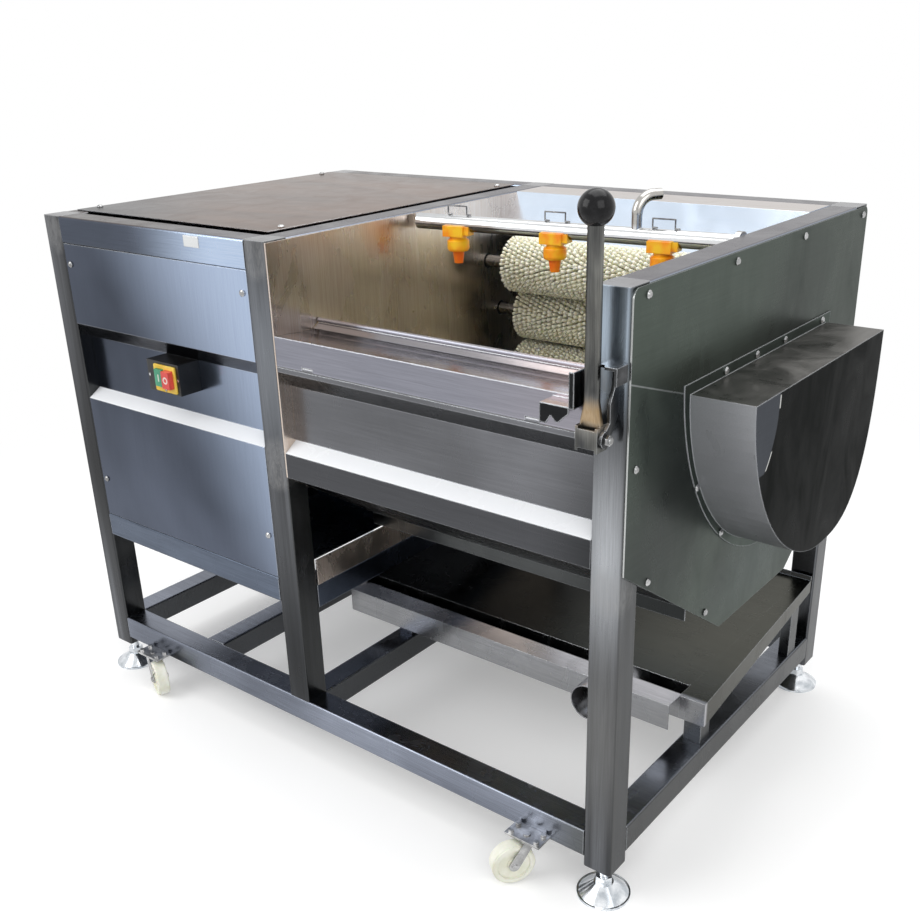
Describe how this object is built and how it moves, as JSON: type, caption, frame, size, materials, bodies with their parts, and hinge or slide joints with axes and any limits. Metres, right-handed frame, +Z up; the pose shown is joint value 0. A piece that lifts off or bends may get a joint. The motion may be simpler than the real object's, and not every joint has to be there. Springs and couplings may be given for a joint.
{
  "type": "roller vegetable washer",
  "caption": "Free-standing stainless washer: tube frame, drive cabinet, open trough lined with brush rollers, spray pipe with nozzles, tilting gate, ball-knob lever and drain tray.",
  "frame": {"origin": "on the floor, in the middle of the box round the whole machine", "axes": "+X to the right along the front, +Y from the front to the rear, +Z up"},
  "size_m": [1.414, 0.9244, 1.115],
  "materials": {
    "steel_tube": "satin ground square tube",
    "steel_sheet": "brushed sheet",
    "polished_steel": "polished",
    "shaft_steel": "turned",
    "bristle": "nylon bristle",
    "hose_steel": "drawn tube",
    "yellow_plastic": "moulded",
    "orange_plastic": "moulded",
    "wire_steel": "bright wire",
    "black_plastic": "moulded",
    "label_yellow": "satin",
    "green_plastic": "moulded",
    "red_plastic": "moulded",
    "motor_paint": "painted cast body",
    "bearing_housing": "painted housing",
    "belt_rubber": "dull",
    "wheel_nylon": "white nylon",
    "caster_steel": "zinc plated"
  },
  "bodies": {
    "frame": {"posts": "steel_tube", "top_rails": "steel_tube", "cabinet_rails": "steel_tube", "floor_rails": "steel_tube", "top_cover": "steel_sheet", "cabinet_door": "steel_sheet", "cabinet_wrap": "steel_sheet", "cabinet_floor": "steel_sheet", "partition": "steel_sheet", "rear_sheet": "steel_sheet", "front_panel": "steel_sheet", "end_panel": "steel_sheet", "drive_guard": "steel_sheet", "lever_bolt": "polished_steel", "lever_bracket": "steel_sheet", "tray": "steel_sheet", "tray_blocks": "steel_sheet", "spray_pipe": "hose_steel", "nozzle_bodies": "yellow_plastic", "nozzle_clips": "wire_steel", "nozzle_tips": "orange_plastic", "switch_box": "black_plastic", "switch_face": "label_yellow", "motor": "motor_paint", "motor_belt": "belt_rubber", "transfer_belt": "belt_rubber", "loop_belt": "belt_rubber", "bearings": "bearing_housing", "panel_screws": "polished_steel", "caster_plates": "caster_steel"},
    "lever": {"lever_arm": "polished_steel", "lever_knob": "black_plastic"},
    "gate": {"gate": "steel_sheet"},
    "start_button": {"start_button": "green_plastic"},
    "stop_button": {"stop_button": "red_plastic"},
    "motor_pulley": {"motor_pulley": "shaft_steel"},
    "fork_left": {"caster_fork_left": "caster_steel"},
    "fork_right": {"caster_fork_right": "caster_steel"},
    "wheel_left": {"caster_wheel_left": "wheel_nylon"},
    "wheel_right": {"caster_wheel_right": "wheel_nylon"},
    "foot_front_left": {"foot_front_left": "polished_steel"},
    "foot_front_right": {"foot_front_right": "polished_steel"},
    "foot_rear_left": {"foot_rear_left": "polished_steel"},
    "foot_rear_right": {"foot_rear_right": "polished_steel"},
    "roller_1": {"roller_core_1": "shaft_steel", "brush_1": "bristle"},
    "roller_2": {"roller_core_2": "shaft_steel", "brush_2": "bristle"},
    "roller_3": {"roller_core_3": "shaft_steel", "brush_3": "bristle"},
    "roller_4": {"roller_core_4": "shaft_steel", "brush_4": "bristle"},
    "roller_5": {"roller_core_5": "shaft_steel", "brush_5": "bristle"},
    "roller_6": {"roller_core_6": "shaft_steel", "brush_6": "bristle"},
    "roller_7": {"roller_core_7": "shaft_steel", "brush_7": "bristle"},
    "roller_8": {"roller_core_8": "shaft_steel", "brush_8": "bristle"}
  },
  "joints": [
    {"name": "roller_1_spin", "type": "hinge", "parent": "frame", "child": "roller_1", "pos_m": [0.271, 0.20099, 0.87084], "axis": [1, 0, 0], "continuous": true},
    {"name": "roller_2_spin", "type": "hinge", "parent": "frame", "child": "roller_2", "pos_m": [0.271, 0.24295, 0.767], "axis": [1, 0, 0], "continuous": true},
    {"name": "roller_3_spin", "type": "hinge", "parent": "frame", "child": "roller_3", "pos_m": [0.271, 0.23375, 0.65531], "axis": [1, 0, 0], "continuous": true},
    {"name": "roller_4_spin", "type": "hinge", "parent": "frame", "child": "roller_4", "pos_m": [0.271, 0.18429, 0.5548], "axis": [1, 0, 0], "continuous": true},
    {"name": "roller_5_spin", "type": "hinge", "parent": "frame", "child": "roller_5", "pos_m": [0.271, 0.07433, 0.53332], "axis": [1, 0, 0], "continuous": true},
    {"name": "roller_6_spin", "type": "hinge", "parent": "frame", "child": "roller_6", "pos_m": [0.271, -0.03026, 0.57339], "axis": [1, 0, 0], "continuous": true},
    {"name": "roller_7_spin", "type": "hinge", "parent": "frame", "child": "roller_7", "pos_m": [0.271, -0.11229, 0.6498], "axis": [1, 0, 0], "continuous": true},
    {"name": "roller_8_spin", "type": "hinge", "parent": "frame", "child": "roller_8", "pos_m": [0.271, -0.16347, 0.7495], "axis": [1, 0, 0], "continuous": true},
    {"name": "motor_pulley_spin", "type": "hinge", "parent": "frame", "child": "motor_pulley", "pos_m": [-0.157, 0.03317, 0.495], "axis": [1, 0, 0], "continuous": true},
    {"name": "lever_swing", "type": "hinge", "parent": "frame", "child": "lever", "pos_m": [0.568, -0.41683, 0.801], "axis": [1, 0, 0], "range_deg": [0, 100]},
    {"name": "gate_tilt", "type": "hinge", "parent": "frame", "child": "gate", "pos_m": [0.222, -0.38383, 0.794], "axis": [1, 0, 0], "range_deg": [0, 90]},
    {"name": "start_press", "type": "slide", "parent": "frame", "child": "start_button", "axis": [0, 1, 0], "range_m": [0, 0.004], "stiffness_N_per_m": 400, "springref_m": -0.002},
    {"name": "stop_press", "type": "slide", "parent": "frame", "child": "stop_button", "axis": [0, 1, 0], "range_m": [0, 0.004], "stiffness_N_per_m": 400, "springref_m": -0.002},
    {"name": "fork_left_swivel", "type": "hinge", "parent": "frame", "child": "fork_left", "pos_m": [-0.528, -0.40583, 0.081], "axis": [0, 0, 1], "continuous": true},
    {"name": "wheel_left_spin", "type": "hinge", "parent": "fork_left", "child": "wheel_left", "pos_m": [-0.50389, -0.41557, 0.0385], "axis": [0.3746, 0.9272, 0], "continuous": true},
    {"name": "fork_right_swivel", "type": "hinge", "parent": "frame", "child": "fork_right", "pos_m": [0.456, -0.40583, 0.081], "axis": [0, 0, 1], "continuous": true},
    {"name": "wheel_right_spin", "type": "hinge", "parent": "fork_right", "child": "wheel_right", "pos_m": [0.44035, -0.4266, 0.0385], "axis": [0.7986, -0.6018, 0], "continuous": true},
    {"name": "foot_front_left_turn", "type": "hinge", "parent": "frame", "child": "foot_front_left", "pos_m": [-0.663, -0.36183, 0.021], "axis": [0, 0, 1], "continuous": true},
    {"name": "foot_front_right_turn", "type": "hinge", "parent": "frame", "child": "foot_front_right", "pos_m": [0.577, -0.36183, 0.021], "axis": [0, 0, 1], "continuous": true},
    {"name": "foot_rear_left_turn", "type": "hinge", "parent": "frame", "child": "foot_rear_left", "pos_m": [-0.663, 0.41817, 0.021], "axis": [0, 0, 1], "continuous": true},
    {"name": "foot_rear_right_turn", "type": "hinge", "parent": "frame", "child": "foot_rear_right", "pos_m": [0.577, 0.41817, 0.021], "axis": [0, 0, 1], "continuous": true}
  ],
  "couplings": [
    {"joint": "roller_1_spin", "follows": "roller_2_spin", "ratio": 1},
    {"joint": "roller_3_spin", "follows": "roller_2_spin", "ratio": 1},
    {"joint": "roller_4_spin", "follows": "roller_2_spin", "ratio": 1},
    {"joint": "roller_5_spin", "follows": "roller_2_spin", "ratio": 1},
    {"joint": "roller_6_spin", "follows": "roller_2_spin", "ratio": 1},
    {"joint": "roller_7_spin", "follows": "roller_2_spin", "ratio": 1},
    {"joint": "roller_8_spin", "follows": "roller_2_spin", "ratio": 1},
    {"joint": "motor_pulley_spin", "follows": "roller_2_spin", "ratio": 0.8}
  ]
}
